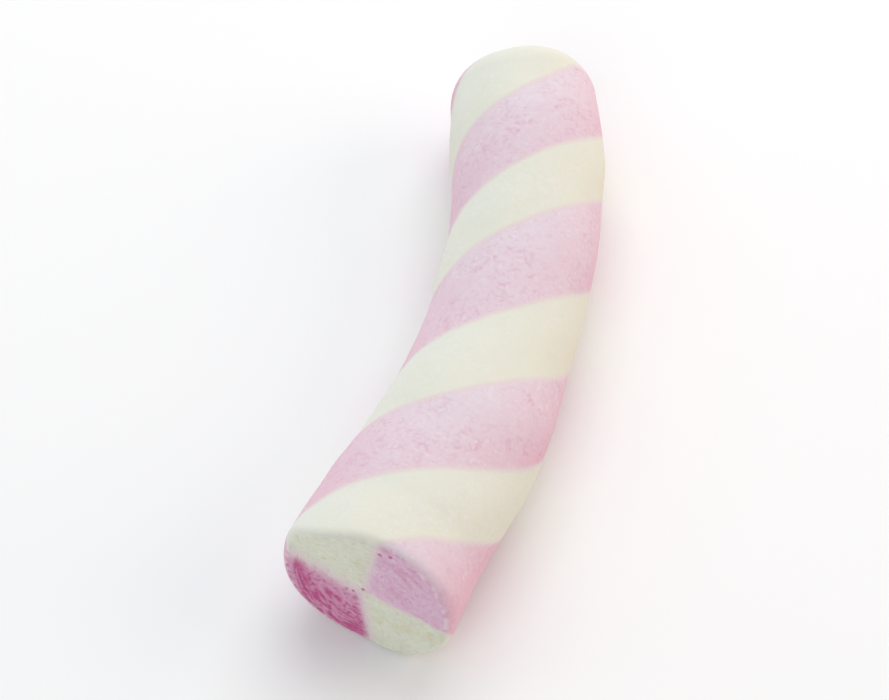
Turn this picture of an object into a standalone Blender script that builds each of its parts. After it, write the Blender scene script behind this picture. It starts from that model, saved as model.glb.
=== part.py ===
"""A twisted marshmallow rope, cut to the length of a finger.

Four strands of soft confection, two pink and two white, leave the nozzle side by side as the
quarters of one round rope. The rope is turned as it is drawn off, so the quarters wind round each
other like the stripes of a barber's pole, and it is cut across at both ends. It lies on its side,
bent a little, and its own weight has flattened it underneath.

Metres, +Z up. The cut ends face -Y (the near end) and +Y (the far end), z = 0 is the surface that
the rope lies on, and the origin is under the middle of its box. Along the rope, s is the distance
from the near cut, and turn is the angle round the rope: 0 on top, growing clockwise as seen from
the near end.
"""

import bpy
import numpy as np

# ------------------------------------------------------------------ the rope's sizes
LENGTH = 0.0976             # along the bent centre line, from cut to cut
GAP = 0.0003                # between two strands, so that each stays a solid of its own

# Stations along the rope, joined by smooth steps: (distance from the near cut, value there). The
# heading is in degrees to the right, and the twist is in degrees for each metre.
HEADING = ((0.000, 26.1), (0.018, 29.7), (0.036, 19.2), (0.054, 12.4), (0.072, 3.8), (0.096, -2.9))
HALF_WIDTH = ((0.000, 0.01368), (0.010, 0.01292), (0.025, 0.01239), (0.045, 0.01155),
              (0.065, 0.01189), (0.082, 0.01228), (0.096, 0.01170))
TWIST_RATE = ((0.000, 5900), (0.025, 5730), (0.050, 6180), (0.075, 6400), (0.096, 5900))

# The cross-section is between an ellipse and a rounded square, a little lower than it is wide.
HEIGHT_TO_WIDTH = 0.97
SQUARENESS = 2.18           # 2 is an ellipse, more is squarer
FLATTENED = 0.073           # share of the half height that the underside has lost

# Shallow dents: distance from the near cut, turn in degrees, reach along the rope, reach round it in
# degrees, and depth. Where the depth is below zero, the rope is swollen instead.
DENTS = (
    (0.0015, 209, 0.007, 35, 0.0010),
    (-0.002, 288, 0.007, 35, 0.0007),
    (-0.004, 109, 0.009, 40, -0.0004),
    (0.024, 94, 0.012, 40, -0.0003),
    (0.067, 269, 0.012, 40, 0.0007),
    (0.093, 87, 0.008, 40, 0.0003),
)

# The cut ends. Each cut leans a little, and its rim is rounded.
NEAR_RIM = 0.0016
FAR_RIM = 0.0053
NEAR_LEAN = 0.125           # how far the foot of the cut stands forward, for each metre down
FAR_LEAN = -0.044
LEAN_REACH = 0.014          # how far into the rope the lean is felt

# The strands, clockwise from the seam nearest the top of the near cut: name, kind, degrees, and how
# far the knife has dragged the strand's first seam round, at the near cut, in degrees.
FIRST_SEAM = 2.9
STRANDS = (
    ("pink_strand_1", "pink", 103.5, 5.3),
    ("white_strand_1", "white", 88.8, -10.8),
    ("pink_strand_2", "pink", 90.1, -24.0),
    ("white_strand_2", "white", 77.6, -4.0),
)
DRAG_REACH = 0.0055         # how far into the rope the drag is felt

# How many degrees a seam at the rope's side has sunk towards the underside, along the rope.
SAG = ((0.050, 0.8), (0.085, 7.6))

# The colours of the two kinds of strand, as linear red, green, blue and alpha.
COLOURS = {"pink": (0.80, 0.62, 0.68, 1.0), "white": (0.82, 0.81, 0.73, 1.0)}
ROUGHNESS = 0.85

# How finely the solids are faceted.
RING_STEP = 0.002           # between rings along the rope
NEAR_RIM_RINGS = 3
FAR_RIM_RINGS = 4
SKIN_SIDES = 9              # facets across the skin of one strand
WALL_SIDES = 3              # facets from the skin to the rope's middle
CREASE_ANGLE = np.radians(40)

# How finely the centre line is worked out, and how far the leaning cuts reach past its ends.
SPINE_SAMPLES = 800
OVERRUN = 0.005


# ------------------------------------------------------------------ profiles along the rope
def smooth(t):
    """0 below 0, 1 above 1, and an S-shaped step between."""
    t = np.clip(t, 0.0, 1.0)
    return t * t * (3.0 - 2.0 * t)


def blend(stations, s):
    """The value at s, going from each station to the next by a smooth step."""
    value = stations[0][1]
    for (start, low), (end, high) in zip(stations, stations[1:]):
        value = value + (high - low) * smooth((s - start) / (end - start))
    return value


def half_width(s):
    return blend(HALF_WIDTH, s)


def half_height(s):
    return HEIGHT_TO_WIDTH * half_width(s)


def axis_height(s):
    """The height of the centre line: the flattened underside lies on z = 0."""
    return half_height(s) * (1.0 - FLATTENED)


# ------------------------------------------------------------------ the centre line and the twist
def running_total(values, step):
    """The integral of evenly spaced values, from 0, by the trapezium rule."""
    return np.concatenate([[0.0], np.cumsum((values[1:] + values[:-1]) * step / 2)])


class Spine:
    """The bent centre line, laid so that its two ends are on a line along +Y, and the twist."""

    def __init__(self):
        self.s = np.linspace(-OVERRUN, LENGTH + OVERRUN, SPINE_SAMPLES)
        step = self.s[1] - self.s[0]
        heading = np.radians(blend(HEADING, self.s))
        sideways, onward = running_total(np.sin(heading), step), running_total(np.cos(heading), step)
        across = np.ptp(np.interp((0.0, LENGTH), self.s, sideways))
        along = np.ptp(np.interp((0.0, LENGTH), self.s, onward))
        self.heading = heading - np.arctan2(across, along)
        self.x = running_total(np.sin(self.heading), step)
        self.y = running_total(np.cos(self.heading), step)
        self.turned = running_total(np.radians(blend(TWIST_RATE, self.s)), step)

    def twist(self, s):
        """How far the strands have turned at s, since the near cut."""
        return np.interp(s, self.s, self.turned) - np.interp(0.0, self.s, self.turned)

    def place(self, s, sideways, upward):
        """The point this far to the right of the centre line at s, and this far above it."""
        height = axis_height(s) + upward
        near = smooth(1.0 - s / LEAN_REACH)
        far = smooth((s - LENGTH) / LEAN_REACH + 1.0)
        forward = near * NEAR_LEAN * (2 * half_height(s) - height) + far * FAR_LEAN * upward
        x, y, heading = (np.interp(s - forward, self.s, row) for row in (self.x, self.y, self.heading))
        return np.stack([x + sideways * np.cos(heading), y - sideways * np.sin(heading), height], -1)


# ------------------------------------------------------------------ one strand
def dent(s, turn):
    """How far the skin lies in at s and turn: bell-shaped dents, added up."""
    depth = 0.0
    for place, middle, along, around, deep in DENTS:
        off = (turn - np.radians(middle) + np.pi) % (2 * np.pi) - np.pi
        depth = depth + deep * np.exp(-((s - place) / along) ** 2 - (off / np.radians(around)) ** 2)
    return depth


def skin(s, turn, scale):
    """Sideways and upward distance from the centre line to the skin, drawn in by scale.

    The section is a superellipse: |sideways / half width| and |upward / half height|, each to the
    power SQUARENESS, add up to 1. What would lie below the flat underside is lifted onto it.
    """
    across, up = np.sin(turn), np.cos(turn)
    reach = (np.abs(across) ** SQUARENESS + np.abs(up) ** SQUARENESS) ** (-1 / SQUARENESS)
    reach = reach * (1.0 - dent(s, turn) / half_width(s))
    up = np.maximum(up * reach, FLATTENED - 1.0)
    return scale * half_width(s) * across * reach, scale * half_height(s) * up


def rim(radius, rings, cut, inward):
    """Rings round a rim: at the angle a, radius (1 - sin a) from the cut, and radius (1 - cos a) in."""
    angle = np.linspace(np.pi / 2, 0.0, rings + 1)
    s = cut + inward * radius * (1.0 - np.sin(angle))
    scale = 1.0 - radius * (1.0 - np.cos(angle)) / half_width(s)
    return list(zip(s, scale))


def rings():
    """(s, scale) of every ring, from the near cut to the far cut."""
    near = rim(NEAR_RIM, NEAR_RIM_RINGS, 0.0, 1.0)
    far = rim(FAR_RIM, FAR_RIM_RINGS, LENGTH, -1.0)
    start, end = near[-1][0], far[-1][0]
    steps = round((end - start) / RING_STEP)
    between = [(s, 1.0) for s in np.linspace(start, end, steps + 1)[1:-1]]
    return near + between + far[::-1]


def seam_turn(spine, s, number):
    """The turn of a strand's first seam at s, in radians: a sagged one is nearer the underside."""
    degrees = FIRST_SEAM + sum(strand[2] for strand in STRANDS[:number])
    drag = STRANDS[number % len(STRANDS)][3] * smooth(1.0 - s / DRAG_REACH)
    even = np.radians(degrees + drag) + spine.twist(s)
    return even + np.radians(blend(SAG, s)) * np.sin(even)


def strand_ring(spine, s, scale, number):
    """A strand's outline at s: clockwise along its skin, then down one wall and up the other."""
    first, last = seam_turn(spine, s, number), seam_turn(spine, s, number + 1)
    margin = GAP / 2 / (scale * half_width(s))
    sideways, upward = skin(s, np.linspace(first + margin, last - margin, SKIN_SIDES + 1), scale)
    edge = np.stack([sideways, upward], -1)

    middle, half = (first + last) / 2, (last - first) / 2
    corner = GAP / 2 / np.sin(half) * np.array([np.sin(middle), np.cos(middle)])
    share = np.linspace(0.0, 1.0, WALL_SIDES + 1)[:, None]
    down = edge[-1] + share * (corner - edge[-1])
    up = corner + share * (edge[0] - corner)
    outline = np.concatenate([edge, down[1:], up[1:-1]])
    return spine.place(s, outline[:, 0], outline[:, 1])


def strand_faces(ring_count, side_count):
    """Triangles between the rings, and one face across each cut.

    On both walls of a seam, the diagonals run from the inner point of a ring to the outer point of
    the next, so that the two strands' facets stay parallel across the gap.
    """
    going_down = range(SKIN_SIDES, SKIN_SIDES + WALL_SIDES)
    faces = []
    for ring in range(ring_count - 1):
        for side in range(side_count):
            a, b = ring * side_count + side, ring * side_count + (side + 1) % side_count
            c, d = a + side_count, b + side_count
            if side in going_down:
                faces += [(a, b, c), (b, d, c)]
            else:
                faces += [(a, b, d), (a, d, c)]
    last = (ring_count - 1) * side_count
    faces.append(tuple(reversed(range(side_count))))
    faces.append(tuple(range(last, last + side_count)))
    return faces


def strand_points(spine, number):
    return np.concatenate([strand_ring(spine, s, scale, number) for s, scale in rings()])


def make_strand(name, points, material):
    ring_count = len(rings())
    mesh = bpy.data.meshes.new(name)
    mesh.from_pydata(points.tolist(), [], strand_faces(ring_count, len(points) // ring_count))
    mesh.materials.append(material)
    mesh.shade_smooth()
    mesh.set_sharp_from_angle(angle=CREASE_ANGLE)
    strand = bpy.data.objects.new(name, mesh)
    bpy.context.scene.collection.objects.link(strand)


# ------------------------------------------------------------------ the rope
def marshmallow(kind):
    """A soft, matt material in the colour of one kind of strand."""
    material = bpy.data.materials.new(kind + "_marshmallow")
    material.use_nodes = True
    shader = material.node_tree.nodes["Principled BSDF"]
    shader.inputs["Base Color"].default_value = COLOURS[kind]
    shader.inputs["Roughness"].default_value = ROUGHNESS
    shader.inputs["Metallic"].default_value = 0.0
    return material


def under_middle(points):
    """The point on z = 0 under the middle of the box round the points."""
    low, high = points.min(axis=0), points.max(axis=0)
    return np.array([(low[0] + high[0]) / 2, (low[1] + high[1]) / 2, 0.0])


def main():
    for old in list(bpy.data.objects):
        bpy.data.objects.remove(old)
    spine = Spine()
    shapes = [strand_points(spine, number) for number in range(len(STRANDS))]
    origin = under_middle(np.concatenate(shapes))
    materials = {kind: marshmallow(kind) for kind in COLOURS}
    for (name, kind, _, _), points in zip(STRANDS, shapes):
        make_strand(name, points - origin, materials[kind])


main()
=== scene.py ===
# %% [markdown]
# # A twisted marshmallow rope
#
# The real sweet is one soft rope of sugar foam. Four strands, two pink and two white, leave the
# nozzle side by side as the quarters of a round, and the rope is turned while it is drawn off, so
# the quarters wind round each other. A knife cuts it to finger length. This lesson dresses the
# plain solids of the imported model: each strand gets a fine skin of its own, worked out with numpy
# from the same few sizes as the solids, and a material for fresh marshmallow.
#
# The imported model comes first, because it fixes the place and the size of everything else.

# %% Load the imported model
import itertools

import bpy
import numpy as np
from mathutils import Matrix, Vector


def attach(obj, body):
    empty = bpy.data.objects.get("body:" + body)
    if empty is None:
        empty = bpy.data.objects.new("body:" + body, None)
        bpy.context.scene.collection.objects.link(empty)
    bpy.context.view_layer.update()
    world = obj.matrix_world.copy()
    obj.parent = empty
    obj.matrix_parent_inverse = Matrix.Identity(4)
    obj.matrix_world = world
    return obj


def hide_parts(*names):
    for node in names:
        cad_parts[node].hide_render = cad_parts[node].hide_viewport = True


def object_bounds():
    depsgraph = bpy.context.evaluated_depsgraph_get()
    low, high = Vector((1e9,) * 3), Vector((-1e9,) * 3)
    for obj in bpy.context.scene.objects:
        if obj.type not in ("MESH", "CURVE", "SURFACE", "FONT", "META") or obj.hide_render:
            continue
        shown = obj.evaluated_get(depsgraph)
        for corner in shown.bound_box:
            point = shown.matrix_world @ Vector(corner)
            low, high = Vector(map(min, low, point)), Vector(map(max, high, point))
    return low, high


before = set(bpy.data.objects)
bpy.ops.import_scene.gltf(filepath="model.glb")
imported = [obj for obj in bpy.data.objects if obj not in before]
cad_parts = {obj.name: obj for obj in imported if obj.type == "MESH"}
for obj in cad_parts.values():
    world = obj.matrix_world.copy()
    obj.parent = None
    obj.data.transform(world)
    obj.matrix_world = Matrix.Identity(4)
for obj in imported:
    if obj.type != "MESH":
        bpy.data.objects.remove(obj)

CAD_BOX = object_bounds()
MM = 0.001
print("the packed nodes are", ", ".join(sorted(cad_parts)))

# %% [markdown]
# ## The sizes of the rope
#
# A rope could be drawn as a curve with a bevel, but a bevel has one section all the way along, and
# this rope swells by its near cut and is thinner where it bends. So its sizes are stations along
# the rope, and a profile runs from one station to the next by smooth steps. The numbers are the
# ones that the solids were made from.

# %% The rope's sizes, in metres and degrees
LENGTH = 0.0976
HEADING = ((0.000, 26.1), (0.018, 29.7), (0.036, 19.2), (0.054, 12.4), (0.072, 3.8), (0.096, -2.9))
HALF_WIDTH = ((0.000, 0.01368), (0.010, 0.01292), (0.025, 0.01239), (0.045, 0.01155),
              (0.065, 0.01189), (0.082, 0.01228), (0.096, 0.01170))
TWIST_RATE = ((0.000, 5900), (0.025, 5730), (0.050, 6180), (0.075, 6400), (0.096, 5900))

HEIGHT_TO_WIDTH = 0.97
SQUARENESS = 2.18
FLATTENED = 0.073

# distance from the near cut, turn, reach along the rope, reach round it, depth
DENTS = (
    (0.0015, 209, 0.007, 35, 0.0010),
    (-0.002, 288, 0.007, 35, 0.0007),
    (-0.004, 109, 0.009, 40, -0.0004),
    (0.024, 94, 0.012, 40, -0.0003),
    (0.067, 269, 0.012, 40, 0.0007),
    (0.093, 87, 0.008, 40, 0.0003),
)

NEAR_RIM, FAR_RIM = 0.0016, 0.0053
NEAR_LEAN, FAR_LEAN, LEAN_REACH = 0.125, -0.044, 0.014

# name of the solid, kind, degrees of the round, and the drag of the knife on its first seam
FIRST_SEAM = 2.9
STRANDS = (
    ("pink_strand_1", "pink", 103.5, 5.3),
    ("white_strand_1", "white", 88.8, -10.8),
    ("pink_strand_2", "pink", 90.1, -24.0),
    ("white_strand_2", "white", 77.6, -4.0),
)
DRAG_REACH = 0.0055

# degrees that a seam at the rope's side has sunk below its even place, along the rope
SAG = ((0.050, 0.8), (0.085, 7.6))

# %% [markdown]
# ## Profiles, and the line that the rope lies along
#
# A smooth step is an S-shaped curve from 0 to 1 that starts and ends level. Joined end to end, such
# steps give every size of the rope at any distance from its near cut. The centre line comes from
# its heading: a short walk in each direction in turn, added up. That keeps the length true however
# the rope bends, which points placed by hand would not.

# %% Smooth steps, and the widths along the rope
def smooth(t):
    """0 below 0, 1 above 1, and 3 t squared - 2 t cubed between."""
    t = np.clip(t, 0.0, 1.0)
    return t * t * (3.0 - 2.0 * t)


def blend(stations, s):
    """The value at s, going from each station to the next by a smooth step."""
    value = stations[0][1]
    for (start, low), (end, high) in zip(stations, stations[1:]):
        value = value + (high - low) * smooth((s - start) / (end - start))
    return value


def half_width(s):
    """Half of how wide the rope is at s, from its stations."""
    return blend(HALF_WIDTH, s)


def half_height(s):
    """Half of how high the rope is at s, before its underside is pressed flat."""
    return HEIGHT_TO_WIDTH * half_width(s)


# %% The centre line and the twist
def running_total(values, step):
    """The integral of evenly spaced values, from 0, by the trapezium rule."""
    return np.concatenate([[0.0], np.cumsum((values[1:] + values[:-1]) * step / 2)])


class Spine:
    """The bent centre line, laid so that its two ends are on a line along +Y, and the twist."""

    def __init__(self, samples=800, overrun=0.005):
        self.s = np.linspace(-overrun, LENGTH + overrun, samples)
        step = self.s[1] - self.s[0]
        heading = np.radians(blend(HEADING, self.s))
        sideways, onward = running_total(np.sin(heading), step), running_total(np.cos(heading), step)
        across = np.ptp(np.interp((0.0, LENGTH), self.s, sideways))
        along = np.ptp(np.interp((0.0, LENGTH), self.s, onward))
        self.chord = np.arctan2(across, along)
        self.heading = heading - self.chord
        self.x = running_total(np.sin(self.heading), step)
        self.y = running_total(np.cos(self.heading), step)
        self.turned = running_total(np.radians(blend(TWIST_RATE, self.s)), step)

    def twist(self, s):
        """How far the strands have turned at s, since the near cut."""
        return np.interp(s, self.s, self.turned) - np.interp(0.0, self.s, self.turned)

    def place(self, s, sideways, upward):
        """The point this far to the right of the centre line at s, and this far above it.

        Near a cut the point also moves along the line, by more the higher or lower it is, because
        neither cut stands quite upright.
        """
        height = half_height(s) * (1.0 - FLATTENED) + upward
        near = smooth(1.0 - s / LEAN_REACH)
        far = smooth((s - LENGTH) / LEAN_REACH + 1.0)
        forward = near * NEAR_LEAN * (2 * half_height(s) - height) + far * FAR_LEAN * upward
        x, y, heading = (np.interp(s - forward, self.s, row) for row in (self.x, self.y, self.heading))
        return np.stack([x + sideways * np.cos(heading), y - sideways * np.sin(heading), height], -1)


SPINE = Spine()
print(f"its two ends lie {np.degrees(SPINE.chord):.2f} degrees off the zero of the headings")
print(f"the rope turns {np.degrees(SPINE.twist(LENGTH)) / 360:.2f} times in {LENGTH / MM:.0f} mm")

# %% [markdown]
# ## Noise for everything that is uneven
#
# Sugar foam is uneven at every scale: the rope is lumpy, its skin is wrinkled like crepe paper, and
# its cuts are torn. Blender's noise textures live in shaders, where they can't move vertices that
# are already built, so the same kind of noise is worked out here for whole arrays of points.

# %% Cloudy noise in space
def cloud(points, size, seed):
    """Smooth random values, mostly between -1 and 1, in lumps of about this size.

    Each corner of a cubic grid has a random direction. A point's value is the dot product of each
    corner's direction with the way from that corner to the point, blended by smooth steps. The
    last factor brings the sum to about 1 at its highest.
    """
    rng = np.random.default_rng(seed)
    order = rng.permutation(256)
    directions = rng.normal(size=(256, 3))
    directions /= np.linalg.norm(directions, axis=1, keepdims=True)
    grid = points / size
    corner = np.floor(grid).astype(int)
    inside = grid - corner
    ease = inside ** 3 * (inside * (inside * 6.0 - 15.0) + 10.0)
    total = np.zeros(points.shape[:-1])
    for step in itertools.product((0, 1), repeat=3):
        cell = corner + step
        pick = order[(order[(order[cell[..., 0] & 255] + cell[..., 1]) & 255] + cell[..., 2]) & 255]
        weight = np.prod(np.where(step, ease, 1.0 - ease), axis=-1)
        total += weight * np.sum(directions[pick] * (inside - step), axis=-1)
    return 1.7 * total


def creases(points, size, width, seed):
    """1 along thin wandering lines, 0 between them: the lines where a cloudy noise crosses 0."""
    return np.exp(-(cloud(points, size, seed) / width) ** 2)


# %% [markdown]
# ## One grid for a whole strand
#
# Seen as a map, a strand's outside is a long strip. Its rows go from the middle of the near cut
# outwards, round the rim, along the rope, round the far rim and into the middle of the far cut. Its
# columns go from one seam to the next. Made this way, cut, rim and skin are one surface without a
# joint, and neighbouring strands share every point of their common seam, so no crack can open.

# %% The rows, from the middle of the near cut to the middle of the far cut
ROW_STEP = 0.00016
CUT_ROW_STEP = 0.00017


def rim_rows(radius, cut, inward):
    """(s, scale, lean) round a rim, a quarter circle from the cut to the skin.

    Lean is how far outwards has turned towards endwise, in radians: half of pi on the cut, where
    it points straight out of the end, and 0 on the skin.
    """
    lean = np.linspace(np.pi / 2, 0.0, int(radius * np.pi / 2 / ROW_STEP) + 1)
    s = cut + inward * radius * (1.0 - np.sin(lean))
    return np.stack([s, 1.0 - radius * (1.0 - np.cos(lean)) / half_width(s), lean])


def cut_rows(rim):
    """(s, scale, lean) across a cut, from its middle to the start of the rim."""
    s, scale, lean = rim[:, 0]
    count = int(scale * half_width(s) / CUT_ROW_STEP)
    ones = np.ones(count)
    return np.stack([s * ones, scale * np.arange(count) / count, lean * ones])


near_rim, far_rim = rim_rows(NEAR_RIM, 0.0, 1.0), rim_rows(FAR_RIM, LENGTH, -1.0)
body = np.arange(near_rim[0, -1] + ROW_STEP, far_rim[0, -1], ROW_STEP)
ROWS = np.concatenate([
    cut_rows(near_rim), near_rim, np.stack([body, np.ones_like(body), np.zeros_like(body)]),
    far_rim[:, ::-1], cut_rows(far_rim)[:, ::-1]], axis=1)
ROW_S, ROW_SCALE, ROW_LEAN = (row[:, None] for row in ROWS)
ROW_END = np.where(ROW_S < LENGTH / 2, -1.0, 1.0)
print(f"{ROWS.shape[1]} rows from cut to cut")

# %% [markdown]
# ## The seams
#
# The seams of a drawn rope wander a little, and the knife drags them where it cuts. So each seam is
# its even share of the turn, plus a slow and a quick wander, plus a drag that fades away from the
# near cut. The wander is a length, so it turns a seam further where the seam nears the middle of
# a cut. Towards the far end the foam has also sunk a little, which bends the stripes at its sides.

# %% Where each seam runs
COLUMNS = 104
WANDER = 0.20 * MM


def seam_turn(number):
    """The turn of a seam at every row, in radians: share, drag, wander and twist, then the sag.

    The wander is cloudy noise of 9 and 1.8 mm along the seam, read 0.1 m apart for each seam.
    """
    share = FIRST_SEAM + sum(degrees for _, _, degrees, _ in STRANDS[:number])
    number = number % len(STRANDS)
    radius = ROW_SCALE * half_width(ROW_S)
    apart = np.full_like(ROW_S, 0.1 * number)
    line = np.concatenate([ROW_S, apart, radius], axis=1)
    wander = WANDER * cloud(line, 9.0 * MM, 11) + WANDER * cloud(line, 1.8 * MM, 12)
    drag = STRANDS[number][3] * smooth(1.0 - ROW_S / DRAG_REACH)
    even = np.radians(share + drag) + wander[:, None] / (radius + MM) + SPINE.twist(ROW_S)
    return even + np.radians(blend(SAG, ROW_S)) * np.sin(even)


# %% [markdown]
# ## The relief of the skin
#
# The skin of a marshmallow is a dry film on soft foam. As the foam shrinks, the film wrinkles like
# crepe paper. A bump map could draw that, but a bump is lost when only the mesh is kept, and it
# can't catch the low light that makes wrinkles show. The grid is fine enough, so they are real.

# %% Lumps and crepe wrinkles
def skin_relief(base, strength):
    """Height over the even skin, and how deep in a wrinkle or a pit each point is, from 0 to 1.

    Lumps of 13 and 4 mm, a leathery grain, and wrinkles along the zero lines of two finer clouds.
    The wrinkles are pushed about by a third cloud and are stronger in patches. The strength is 1
    for a wrinkled strand. Heights are in millimetres until the last line.
    """
    push = 0.2 * MM * np.stack([cloud(base, 0.9 * MM, seed) for seed in (21, 22, 23)], -1)
    patch = 0.4 + 0.6 * smooth(0.5 + 1.3 * cloud(base, 6.0 * MM, 24))
    wrinkles = 0.8 * creases(base + push, 1.2 * MM, 0.15, 25)
    wrinkles = wrinkles * smooth(0.3 + 2.0 * cloud(base, 1.5 * MM, 26))
    grain = cloud(base + push, 0.5 * MM, 29) + 0.5 * cloud(base + push, 0.9 * MM, 30)
    depth = np.clip(patch * (wrinkles + 0.5 * smooth(-1.4 * grain)) * strength, 0.0, 1.0)
    lumps = 0.13 * cloud(base, 13.0 * MM, 27) + 0.05 * cloud(base, 4.0 * MM, 28)
    return MM * (lumps + 0.016 * patch * strength * grain - 0.06 * depth), depth


# %% [markdown]
# ## The relief of the cuts
#
# A blade drags soft foam along, so a cut is rough: crumbs stick out, pores lie open, and the foam
# tears between the layers that it was pressed into, which lie round the middle like the rings of a
# tree. A streaky noise gives the layers. It is an even noise, read in a squeezed place: the way
# outwards counts in full, and the way round counts as if it ran on a circle of 1.1 mm. So at 8 mm
# from the middle every lump becomes a curved streak seven times as long as it is wide. The four
# bubbles that the knife opened are too few to leave to chance, so each has a place of its own.

# %% The bubbles that the knife opened
# turn in degrees, distance from the middle, radius
BUBBLES = (
    (7.0, 0.0004, 0.00030),
    (237.0, 0.0017, 0.00024),
    (12.7, 0.0108, 0.00036),
    (19.8, 0.0115, 0.00028),
)


def opened_bubbles(sideways, upward):
    """1 in the middle of each bubble, and a bell shape round it: e to the minus distance squared."""
    opened = 0.0
    for turn, distance, size in BUBBLES:
        middle = distance * np.array([np.sin(np.radians(turn)), np.cos(np.radians(turn))])
        away = np.hypot(sideways - middle[0], upward - middle[1])
        opened = np.maximum(opened, np.exp(-(away / size) ** 2))
    return opened


# %% Tears, crumbs and pores
LAYER_CIRCLE = 1.1 * MM
LAYER_WANDER = 0.6 * MM

# where the paler foam by the rim starts, and over how much it fades in, in millimetres
RIM_START, RIM_REACH = 10.4, 1.2


def cut_relief(base, sideways, upward, torn):
    """Height over the even cut, and how deep in a tear or a pore each point is, from 0 to 1.

    Tears follow the streaks, where they lie in a torn patch and away from the middle. Pores and
    crumbs are cloudy noise. A torn quarter is deep in colour as a whole, less so by its rim.
    Heights are in millimetres until the last line.
    """
    radius = np.hypot(sideways, upward)
    around = LAYER_CIRCLE * np.stack([sideways, upward], -1) / (radius[..., None] + 0.1 * MM)
    outwards = radius + LAYER_WANDER * cloud(base, 3.5 * MM, 31)
    squeezed = np.concatenate([outwards[..., None], around], -1)
    streaks = cloud(squeezed, 0.7 * MM, 32) + 0.8 * cloud(squeezed, 0.36 * MM, 33)
    outer = smooth((radius / MM - 1.0) / 7.0)
    where = smooth(0.6 + 0.9 * cloud(base, 4.0 * MM, 34)) * outer
    slits = 0.45 * np.exp(-((streaks - 0.25) / 0.2) ** 2) + 0.55 * smooth(0.5 + 0.9 * streaks)
    tears = torn * where * slits
    pores = smooth((cloud(base, 0.8 * MM, 35) - 0.40) / 0.3)
    pores = np.maximum(pores, 2.5 * opened_bubbles(sideways, upward))
    crumbs = cloud(base, 0.7 * MM, 36) + 0.7 * cloud(base, 0.42 * MM, 37)
    lumps = 0.22 * cloud(base, 5.0 * MM, 38) + 0.10 * cloud(base, 2.0 * MM, 39)
    height = lumps + 0.095 * crumbs + 0.05 * streaks - 0.06 * pores - 0.28 * tears
    pits = (0.12 + 0.3 * torn) * pores + 0.25 * smooth(-1.2 * crumbs) * (0.3 + torn)
    inner = smooth((radius / MM - 0.5) / 2.5)
    whole = smooth(2.0 * torn - 1.0) * (0.3 * inner + 0.2 * outer)
    rim = 1.0 - 0.25 * torn * smooth((radius / MM - RIM_START) / RIM_REACH)
    return MM * height, np.clip((tears + pits + whole) * rim, 0.0, 1.0)


# %% [markdown]
# ## A strand's skin
#
# Everything comes together on the grid. The section of the rope is a superellipse, between an
# ellipse and a rounded square, with a few dents, and its underside is pressed flat by the table.
# Relief pushes a point outwards, and outwards turns from sideways on the skin to endwise on a cut.
#
# The knife leaves its marks on the near rim: on one side it drew the foam out to a standing lip,
# and all round the edge is ragged, with crumbs. Shade is painted on the skin too: the strands are
# paler on top and deeper in colour at their sides and towards their last seam, as painted shade and
# painted reflected colour, and by the near cut the pink sides are painted deeper and the white paler.

# %% The even surface of the rope
PRESSED_FADE = 0.05


def angle_from(turn, middle):
    """How far a turn in radians is from a middle in degrees, the short way round, in radians."""
    return (turn - np.radians(middle) + np.pi) % (2 * np.pi) - np.pi


def dent(s, turn):
    """How far the skin lies in, from a few bell-shaped dents. Swellings count below zero."""
    depth = 0.0
    for place, middle, along, around, deep in DENTS:
        off = angle_from(turn, middle)
        depth = depth + deep * np.exp(-((s - place) / along) ** 2 - (off / np.radians(around)) ** 2)
    return depth


def even_surface(s, turn, scale):
    """Sideways and upward from the centre line, the outward direction, and how pressed it is.

    The reach of a superellipse is the sum of |sin| and |cos| of the turn, each to the power of
    the squareness, to the power of minus one over it. Nothing reaches below the pressed level.
    """
    across, up = np.sin(turn), np.cos(turn)
    reach = (np.abs(across) ** SQUARENESS + np.abs(up) ** SQUARENESS) ** (-1 / SQUARENESS)
    reach = reach * (1.0 - dent(s, turn) / half_width(s))
    level = FLATTENED - 1.0
    pressed = smooth((level + PRESSED_FADE - up * reach) / PRESSED_FADE)
    sideways = scale * half_width(s) * across * reach
    upward = scale * half_height(s) * np.maximum(up * reach, level)
    return sideways, upward, (across, up), pressed


# %% The lip that the knife drew out
# turn and reach round the rim in degrees, reach along the rope, and how far it stands out
STANDING_RIM = (332, 26, 0.009, 0.0022)


def standing_rim(s, turn, scale):
    """How far the foam was drawn out after the knife: a bell round the rim, fading inwards."""
    middle, around, along, out = STANDING_RIM
    off = angle_from(turn, middle)
    return out * np.exp(-(off / np.radians(around)) ** 2) * scale ** 3 * smooth(1.0 - s / along)


# %% How the finishes of neighbouring strands run into each other
WRINKLED = {"pink": 1.0, "white": 0.42}
TORN = {"pink_strand_1": 0.28, "white_strand_1": 0.33, "pink_strand_2": 1.0, "white_strand_2": 0.35}

# how wide each strand's side of the blend is: on the skin, and on the cuts for each seam in turn
SEAM_BLEND = 1.3 * MM
CUT_BLEND = (1.5 * MM, 0.9 * MM, 1.6 * MM, 3.3 * MM)


def blend_width(seam, on_cut):
    """From the width on the skin to the seam's own width on a cut, in step with on_cut."""
    return SEAM_BLEND + on_cut * (CUT_BLEND[seam % len(STRANDS)] - SEAM_BLEND)


def shared(table, key, own):
    """The strand's value from a table where own is 1, and the mean of the table where own is 0."""
    return table[key] * own + np.mean(list(table.values())) * (1.0 - own)


# %% How much shade is painted on a strand's sides
# painted shade at the least, more at its sides, the turn where it is palest, more towards its last
# seam, and more at its sides by the near cut
SIDE_SHADE = {"pink": (-0.05, 1.5, 3.0, 0.25, 0.9), "white": (0.10, 0.80, -20.0, 0.15, -0.35)}
NEAR_CUT_SHADE_REACH = 0.045


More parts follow.
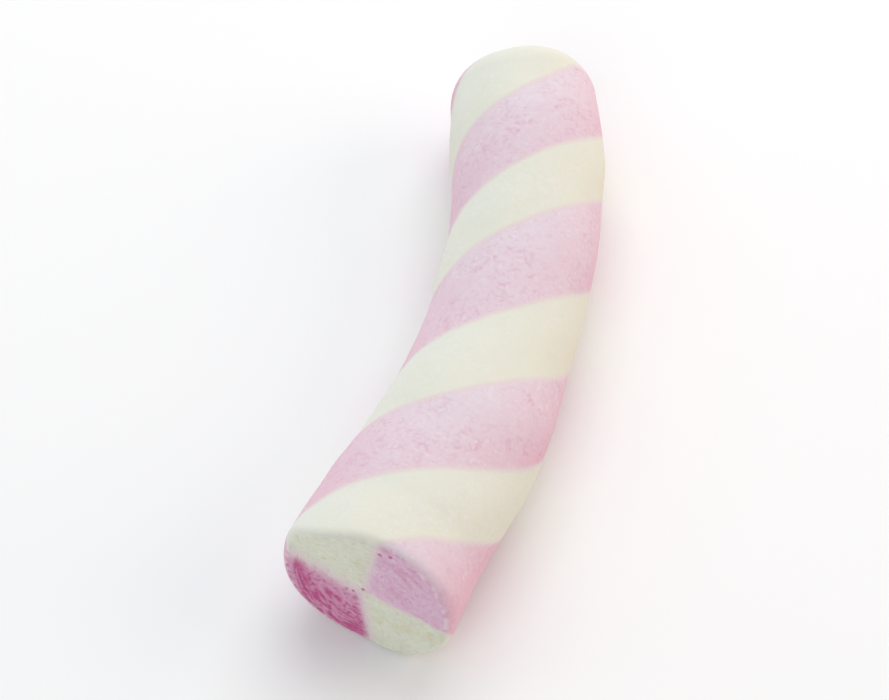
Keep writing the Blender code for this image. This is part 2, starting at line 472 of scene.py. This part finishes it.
def side_shading(kind, s, turn, share):
    """Low on top and high at the sides: how deep the painted shade and painted reflected colour are.

    A cosine of the turn gives the sides, and a smooth step fades the painted shade by the near cut out.
    """
    least, sides, palest, graded, by_near_cut = SIDE_SHADE[kind]
    side = 0.5 - 0.5 * np.cos(turn - np.radians(palest))
    return least + side * (sides + by_near_cut * smooth(1.0 - s / NEAR_CUT_SHADE_REACH)) + graded * share


# %% The uneven surface of one strand, as arrays
# how far a strand swells out between its seams
BULGE = 0.18 * MM

# the ragged edge of a rim: its height, the lean in radians at its middle, and its reach in lean
EDGE_HEIGHT, EDGE_LEAN, EDGE_WIDTH = 0.18 * MM, 1.2, 0.22

# the finish of a cut starts at this share of a rim's quarter turn, and is full this much further
CUT_STARTS, CUT_FADE = 0.45, 0.5


def strand_skin(number):
    """Points of the strand's grid, and what its material wants to know about each of them.

    A point is the even surface, drawn out at the standing rim and pushed outwards by the relief.
    Own is 0 on a seam and 1 inside the strand, and every finish is shared where own is below 1.
    On_cut goes from 0 on the skin to 1 on a cut, round the rim. Depth is how deep in a wrinkle,
    tear or pore a point lies, the side shade how much shade is painted there, crumb and bubble where
    those are.
    """
    name, kind = STRANDS[number][:2]
    first, last = seam_turn(number), seam_turn(number + 1)
    share = np.linspace(0.0, 1.0, COLUMNS + 1)[None, :]
    turn = first + share * (last - first)
    s = ROW_S + 0 * turn
    sideways, upward, (across, up), pressed = even_surface(s, turn, ROW_SCALE)
    s = s - standing_rim(s, turn, ROW_SCALE)
    base = SPINE.place(s, sideways, upward)

    on_cut = smooth((ROW_LEAN / (np.pi / 2) - CUT_STARTS) / CUT_FADE) + 0 * turn
    width = (last - first) * half_width(s) * ROW_SCALE
    from_first = share * width / blend_width(number, on_cut)
    from_last = (1.0 - share) * width / blend_width(number + 1, on_cut)
    inwards = np.minimum(np.minimum(from_first, from_last), 1.0)
    own = 1.5 * inwards - 0.5 * inwards ** 3
    wrinkled, torn = shared(WRINKLED, kind, own), shared(TORN, name, own)

    skin_height, skin_depth = skin_relief(base, wrinkled)
    skin_height = (skin_height + BULGE * np.sin(np.pi * share) ** 2) * (1.0 - pressed)
    cut_height, cut_depth = cut_relief(base, sideways, upward, torn)
    edge = np.exp(-((ROW_LEAN - EDGE_LEAN) / EDGE_WIDTH) ** 2)
    ragged = cloud(base, 1.1 * MM, 41) + 0.5 * cloud(base, 0.6 * MM, 42)
    endwise = on_cut * cut_height + (1.0 - on_cut) * skin_height + EDGE_HEIGHT * edge * ragged

    outward = np.cos(ROW_LEAN) * skin_height
    points = SPINE.place(s + ROW_END * np.sin(ROW_LEAN) * endwise,
                         sideways + outward * across, upward + outward * up)
    # the low places of the ragged rim are darkened: painted shade in its pits
    depth = skin_depth + on_cut * (cut_depth - skin_depth) + 0.7 * edge * torn * smooth(-2.5 * ragged)
    return points, {
        "own": own,
        "on_cut": on_cut,
        "depth": np.minimum(depth, 1.0),
        "painted_side_shade": side_shading(kind, s, turn, share),
        "crumb": edge * smooth(2.0 * ragged),
        "bubble": on_cut * (ROW_END < 0) * opened_bubbles(sideways, upward),
    }


# %% The four skins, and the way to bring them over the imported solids
skins = [strand_skin(number) for number in range(len(STRANDS))]
every_point = np.concatenate([points.reshape(-1, 3) for points, _ in skins])
low, high = every_point.min(axis=0), every_point.max(axis=0)
box_middle = (np.array(CAD_BOX[0]) + np.array(CAD_BOX[1])) / 2
SHIFT = np.array([box_middle[0] - (low[0] + high[0]) / 2, box_middle[1] - (low[1] + high[1]) / 2, 0.0])
print("the skins measure", np.round((high - low) / MM, 1), "mm")

# %% [markdown]
# ## Closing a strand
#
# A skin alone is a curved strip, and a solid is wanted, as each quarter of the real rope is solid.
# A Solidify modifier would only make a shell of it. So two walls go from the seams down to the
# centre line, each a fan of long triangles between the seam and a row of points along the middle.
# They lie inside the rope, where nobody looks, so they are as coarse as they can be. The row of
# points stops well inside each cut, so that the walls dive steeply under the rough cuts and nowhere
# show through them. The seam edges are marked sharp: the skin is then shaded as if it went on over
# the seam, which hides the edge between two strands.

# %% The points and faces of a closed strand
CORE_STEP = 0.0016
CORE_END = 0.014


def closed_strand(points):
    """Points and faces, all turned outwards: the skin, two walls, and a fan in each cut's middle.

    Every point of a seam belongs to the nearest station of the middle row, and the stations never
    go back, so each wall is closed. The last result is the two seams, as point numbers.
    """
    rows, columns = points.shape[:2]
    inner = points[1:-1].reshape(-1, 3)
    near_middle, far_middle = points[0].mean(axis=0), points[-1].mean(axis=0)
    core_s = np.arange(CORE_END, LENGTH - CORE_END, CORE_STEP)
    core = SPINE.place(core_s, 0 * core_s, 0 * core_s)
    vertices = np.concatenate([inner, [near_middle, far_middle], core])
    near, far, first_core = len(inner), len(inner) + 1, len(inner) + 2

    index = np.arange((rows - 2) * columns).reshape(rows - 2, columns)
    a, b, c, d = index[:-1, :-1], index[:-1, 1:], index[1:, 1:], index[1:, :-1]
    quads = np.stack([b, c, d, a], -1).reshape(-1, 4)
    near_fan = np.stack([np.full(columns - 1, near), index[0, 1:], index[0, :-1]], -1)
    far_fan = np.stack([np.full(columns - 1, far), index[-1, :-1], index[-1, 1:]], -1)

    station = np.round((ROW_S[1:-1, 0] - CORE_END) / CORE_STEP).astype(int)
    station = np.maximum.accumulate(np.clip(station, 0, len(core_s) - 1))
    walls = []
    for edge, turned in ((index[:, 0], True), (index[:, -1], False)):
        rail = first_core + station
        fans = np.stack([edge[:-1], rail[:-1], edge[1:]], -1)
        moved = rail[1:] != rail[:-1]
        steps = np.stack([edge[1:], rail[:-1], rail[1:]], -1)[moved]
        ends = np.array([[near, rail[0], edge[0]], [edge[-1], rail[-1], far]])
        wall = np.concatenate([fans, steps, ends])
        walls.append(wall[:, ::-1] if turned else wall)
    triangles = np.concatenate([near_fan, far_fan, *walls])
    return vertices, quads, triangles, index[:, (0, -1)]


# %% Writing a strand into Blender
def make_strand(number):
    """One closed object, with the skin's values as attributes and its seam edges sharp."""
    name = STRANDS[number][0].replace("_strand_", "_marshmallow_strand_")
    points, values = skins[number]
    vertices, quads, triangles, seams = closed_strand(points)
    skin_count = points[1:-1, :, 0].size
    mesh = bpy.data.meshes.new(name)
    mesh.from_pydata((vertices + SHIFT).tolist(), [], quads.tolist() + triangles.tolist())
    for label, value in values.items():
        rest = np.full(len(vertices) - skin_count, value[0].mean())
        every = np.concatenate([value[1:-1].reshape(-1), rest])
        attribute = mesh.attributes.new(label, "FLOAT", "POINT")
        attribute.data.foreach_set("value", every.astype(np.float32))

    mesh.shade_smooth()
    ends = np.empty(2 * len(mesh.edges), int)
    mesh.edges.foreach_get("vertices", ends)
    on_seam = np.zeros(len(vertices), bool)
    on_seam[seams] = True
    on_seam[skin_count:] = True
    sharp = mesh.attributes.new("sharp_edge", "BOOLEAN", "EDGE")
    sharp.data.foreach_set("value", on_seam[ends].reshape(-1, 2).all(axis=1))
    strand = bpy.data.objects.new(name, mesh)
    bpy.context.scene.collection.objects.link(strand)
    return strand


# %% [markdown]
# ## Shader sums written as sums
#
# A material is a graph of nodes, and a sum takes a node for every sign. A small class that wraps a
# socket lets the sum be written as one, and makes the nodes on the way.

# %% A socket that does arithmetic
class Value:
    """A number that varies over the surface. a * b + c makes the Math nodes that work it out."""

    def __init__(self, paint, socket):
        self.paint, self.socket = paint, socket

    def _with(self, operation, first, second):
        node = self.paint.node("ShaderNodeMath", {"operation": operation}, {0: first, 1: second})
        return Value(self.paint, node.outputs[0])

    def __add__(self, other):
        return self._with("ADD", self, other)

    def __sub__(self, other):
        return self._with("SUBTRACT", self, other)

    def __rsub__(self, other):
        return self._with("SUBTRACT", other, self)

    def __mul__(self, other):
        return self._with("MULTIPLY", self, other)

    __radd__, __rmul__ = __add__, __mul__

    def step(self, start, end):
        """0 below start, 1 above end, a smooth step between."""
        node = self.paint.node("ShaderNodeMapRange", {"interpolation_type": "SMOOTHSTEP"},
                               {0: self, 1: start, 2: end})
        return Value(self.paint, node.outputs[0])


class Paint:
    """A new material, and one way to add any node to it."""

    def __init__(self, name):
        self.material = bpy.data.materials.new(name)
        self.material.use_nodes = True
        self.tree = self.material.node_tree
        self.shader = self.tree.nodes["Principled BSDF"]

    def node(self, kind, settings=None, sockets=None):
        """Adds a node: its settings first, then a value or a link for each socket named."""
        node = self.tree.nodes.new(kind)
        for key, setting in (settings or {}).items():
            setattr(node, key, setting)
        for key, value in (sockets or {}).items():
            self.feed(node.inputs[key], value)
        return node

    def feed(self, socket, value):
        """Links a value or a colour to a socket, or sets the socket to a plain number or colour."""
        if isinstance(value, Value):
            self.tree.links.new(value.socket, socket)
        elif isinstance(value, bpy.types.NodeSocket):
            self.tree.links.new(value, socket)
        else:
            socket.default_value = value

    def attribute(self, name):
        """What the mesh knows of each point under this name."""
        node = self.node("ShaderNodeAttribute", {"attribute_name": name})
        return Value(self, node.outputs["Fac"])

    def noise(self, size, detail, seed):
        """Cloudy noise in lumps of this size in metres, with finer lumps for more detail.

        It is about 0.5 on average, and step brings out its high places.
        """
        place = self.node("ShaderNodeTexCoord").outputs["Object"]
        node = self.node("ShaderNodeTexNoise", {"noise_dimensions": "4D"},
                         {"Vector": place, "W": seed, "Scale": 1.0 / size, "Detail": detail})
        return Value(self, node.outputs["Fac"])

    def mix(self, factor, first, second):
        """A colour between two colours: the first where the factor is 0, the second where it is 1."""
        node = self.node("ShaderNodeMix", {"data_type": "RGBA"}, {0: factor, 6: first, 7: second})
        return node.outputs[2]


# %% [markdown]
# ## Fresh marshmallow
#
# Marshmallow is matt and pale, and dusted with starch. Where it is cut, the foam inside shows, less
# dusty and deeper in colour, and shade is painted deepest down in a crease or a tear. Where two strands
# touch, their colours bleed into each other over a millimetre or more. The colour is built up in
# layers: the skin with its sides deepened by painted shade, the inside on the cuts with a few patches
# of sticky syrup, loose starch, the painted shade of each crease, and last the seams, the crumbs of the
# rim, whitish with starch and a painted highlight, and the opened bubbles, painted the deepest pink in
# either strand as shade in their hollows. One function makes both materials, because they differ only
# in their tints. A flat map wrapped round the rope would smear on the cuts, so the colour reads the
# mesh's own values instead.

# %% The two materials
SKIN = {"pink": (0.80, 0.70, 0.755, 1), "white": (0.80, 0.815, 0.75, 1)}
# the deeper colour of the sides' painted shade and painted reflected colour, and of the foam's own
# mottle
SIDE_SHADE_AND_MOTTLE = {"pink": (0.80, 0.50, 0.585, 1), "white": (0.80, 0.74, 0.59, 1)}
INSIDE = {"pink": (0.80, 0.55, 0.69, 1), "white": (0.79, 0.795, 0.675, 1)}
# the deepest colour: painted shade in creases, tears, pores and hollows, and the torn foam's own deeper
# tone
DEEP_TONE_AND_SHADE = {"pink": (0.58, 0.10, 0.285, 1), "white": (0.62, 0.58, 0.45, 1)}
SYRUP = {"pink": (0.80, 0.46, 0.62, 1), "white": (0.76, 0.72, 0.50, 1)}
MIDWAY = (0.80, 0.70, 0.69, 1)
# pale starch, also laid on the raised crumbs of the rim as a painted highlight
DUST_AND_HIGHLIGHT = (0.88, 0.85, 0.85, 1)

# how strongly each layer of colour covers the ones below it
MOTTLED, SYRUPY, DUSTY, CRUMB_DUST_AND_HIGHLIGHT, HOLLOW_SHADE = 0.1, 0.65, 0.4, 0.5, 0.8
CREASE_SHADE_ON_SKIN, SHADE_AND_TONE_ON_CUT = 0.22, 0.73
MATT = {"Roughness": 0.9, "Specular IOR Level": 0.25, "Diffuse Roughness": 0.6}


def marshmallow(kind):
    """Matt foam: dusted skin with painted shade at its sides, deeper colour on cuts, painted shade in
    creases, tears and hollows, and a bleed along the seams.

    Each line lays one more colour over the last, by an amount from the mesh or from cloudy noise.
    """
    paint = Paint(kind + "_marshmallow")
    own, on_cut, depth, painted_side_shade, crumb, bubble = map(
        paint.attribute, ("own", "on_cut", "depth", "painted_side_shade", "crumb", "bubble"))
    mottle = paint.noise(0.005, 3.0, 1.0).step(0.35, 0.75)
    syrup = paint.noise(0.0035, 2.0, 4.0).step(0.5, 0.72) * on_cut
    specks = paint.noise(0.0006, 4.0, 2.0).step(0.5, 0.7)
    dust = specks * paint.noise(0.008, 2.0, 3.0).step(0.3, 0.65)

    # the skin deepens at its sides as painted shade and painted reflected colour, and in a few mottles
    # of the foam's own tone
    colour = paint.mix(painted_side_shade + mottle * MOTTLED, SKIN[kind], SIDE_SHADE_AND_MOTTLE[kind])
    colour = paint.mix(on_cut, colour, INSIDE[kind])
    colour = paint.mix(syrup * SYRUPY, colour, SYRUP[kind])
    colour = paint.mix(dust * DUSTY, colour, DUST_AND_HIGHLIGHT)
    # painted shade down in creases, low grain, tears, pores and the rim's pits, with the torn quarter's
    # own deeper tone on the cut
    colour = paint.mix(depth * (CREASE_SHADE_ON_SKIN + on_cut * SHADE_AND_TONE_ON_CUT), colour, DEEP_TONE_AND_SHADE[kind])
    colour = paint.mix(1.0 - own, colour, MIDWAY)
    # the raised crumbs of the rim are painted whitish: starch, and a painted highlight
    colour = paint.mix(crumb * CRUMB_DUST_AND_HIGHLIGHT, colour, DUST_AND_HIGHLIGHT)
    # the opened bubbles are painted deep pink: painted shade in their hollows
    colour = paint.mix(bubble.step(0.1, 0.8) * HOLLOW_SHADE, colour, DEEP_TONE_AND_SHADE["pink"])
    paint.feed(paint.shader.inputs["Base Color"], colour)

    # the fine grain of the foam, in bumps of a third and of an eighth of a millimetre
    grain = paint.noise(0.00035, 3.0, 5.0) + paint.noise(0.00012, 2.0, 6.0) * 0.5
    bump = paint.node("ShaderNodeBump", None, {"Strength": 0.4, "Distance": 0.00006, "Height": grain})
    paint.feed(paint.shader.inputs["Normal"], bump.outputs["Normal"])
    for name, value in MATT.items():
        paint.shader.inputs[name].default_value = value
    return paint.material


# %% [markdown]
# ## The four strands in place
#
# Each fine strand stands for one plain solid, so it rides with the same body and takes the material
# of its kind. They could be joined into one mesh, but four pieces keep the names of the four solids,
# and each can be taken out or tinted by itself.

# %% Make the strands
materials = {kind: marshmallow(kind) for kind in SKIN}
for number, (node, kind, _, _) in enumerate(STRANDS):
    strand = make_strand(number)
    strand.data.materials.append(materials[kind])
    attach(strand, "root")
    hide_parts(node)
    print(f"{strand.name}: {len(strand.data.polygons)} faces")

# %% [markdown]
# ## Table and light
#
# A pale table, and soft light such as a bright room gives: a large panel like the sky, behind and
# above, a cool window at the left, the glow of a warm wall at the right, and a weak panel in front
# that lifts the shade on the near cut. A pale room lies all round. Small lamps would draw hard
# shadows, which the dusty surface of a marshmallow never shows in daylight.

# %% The table
FLOOR = 3.0
floor_paint = Paint("pale_table")
floor_paint.shader.inputs["Base Color"].default_value = (0.9, 0.9, 0.9, 1)
floor_paint.shader.inputs["Roughness"].default_value = 0.9
floor_mesh = bpy.data.meshes.new("floor")
floor_mesh.from_pydata([(-FLOOR, -FLOOR, 0), (FLOOR, -FLOOR, 0), (FLOOR, FLOOR, 0), (-FLOOR, FLOOR, 0)],
                       [], [(0, 1, 2, 3)])
floor_mesh.materials.append(floor_paint.material)
floor = bpy.data.objects.new("floor", floor_mesh)
bpy.context.scene.collection.objects.link(floor)


# %% The light
# name, place, side, watts and colour of each panel
PANELS = (
    ("sky", (-0.05, 0.54, 0.68), 0.8, 4.75, (0.96, 0.98, 1.0)),
    ("window", (-0.90, 0.10, 0.45), 1.0, 2.0, (0.78, 0.89, 1.0)),
    ("wall", (0.85, 0.30, 0.45), 0.7, 3.6, (1.0, 0.81, 0.71)),
    ("front", (-0.1, -0.72, 0.66), 0.8, 2.2, (0.92, 0.98, 1.0)),
)
HEART = (0, 0, 0.012)
ROOM = 0.40


def turned_towards(eye, target):
    """Where a lamp or a camera at eye, looking at target, has its axes."""
    back = (Vector(eye) - Vector(target)).normalized()
    return Matrix.Translation(eye) @ back.to_track_quat("Z", "Y").to_matrix().to_4x4()


def panel(name, place, size, watts, colour):
    """A square soft light that looks at the rope."""
    light = bpy.data.lights.new(name, "AREA")
    light.size, light.energy, light.color = size, watts, colour
    lamp = bpy.data.objects.new(name, light)
    lamp.matrix_world = turned_towards(place, HEART)
    bpy.context.scene.collection.objects.link(lamp)


for row in PANELS:
    panel(*row)

world = bpy.data.worlds.new("pale_room")
world.use_nodes = True
room = world.node_tree.nodes["Background"]
room.inputs["Color"].default_value = (1.0, 1.0, 1.0, 1)
room.inputs["Strength"].default_value = ROOM
bpy.context.scene.world = world
bpy.context.scene.view_settings.view_transform = "Standard"

# %% [markdown]
# ## The camera
#
# The camera looks down steeply and a little from the right, with the cut end towards it. It is
# aimed by measuring: the outline's middle, as seen from here, is brought to the middle of the
# frame in a few rounds, and the lens is chosen so that the outline fills most of the height.

# %% Aim the camera
AZIMUTH, ELEVATION, DISTANCE = np.radians(14.13), np.radians(56.5), 0.350
FILL = 0.87
FRAME_WIDTH, FRAME_HEIGHT = 889, 700
SENSOR = 36.0

camera_data = bpy.data.cameras.new("camera")
camera = bpy.data.objects.new("camera", camera_data)
bpy.context.scene.collection.objects.link(camera)
bpy.context.scene.camera = camera

back = np.array([np.sin(AZIMUTH) * np.cos(ELEVATION), -np.cos(AZIMUTH) * np.cos(ELEVATION),
                 np.sin(ELEVATION)])
right = np.array([np.cos(AZIMUTH), np.sin(AZIMUTH), 0.0])
up = np.cross(back, right)
target = box_middle.copy()
for _ in range(3):
    seen = every_point + SHIFT - (target + DISTANCE * back)
    away = -seen @ back
    x, y = seen @ right / away, seen @ up / away
    target = target + DISTANCE * ((x.max() + x.min()) / 2 * right + (y.max() + y.min()) / 2 * up)
camera.matrix_world = turned_towards(target + DISTANCE * back, target)
camera_data.sensor_width = SENSOR
camera_data.lens = SENSOR / FRAME_WIDTH * FILL * FRAME_HEIGHT / np.ptp(y)
camera_data.clip_start = 0.01
print(f"a {camera_data.lens:.0f} mm lens at {DISTANCE:.2f} m")
print(f"the outline is {np.ptp(x) / np.ptp(y):.4f} as wide as it is high")
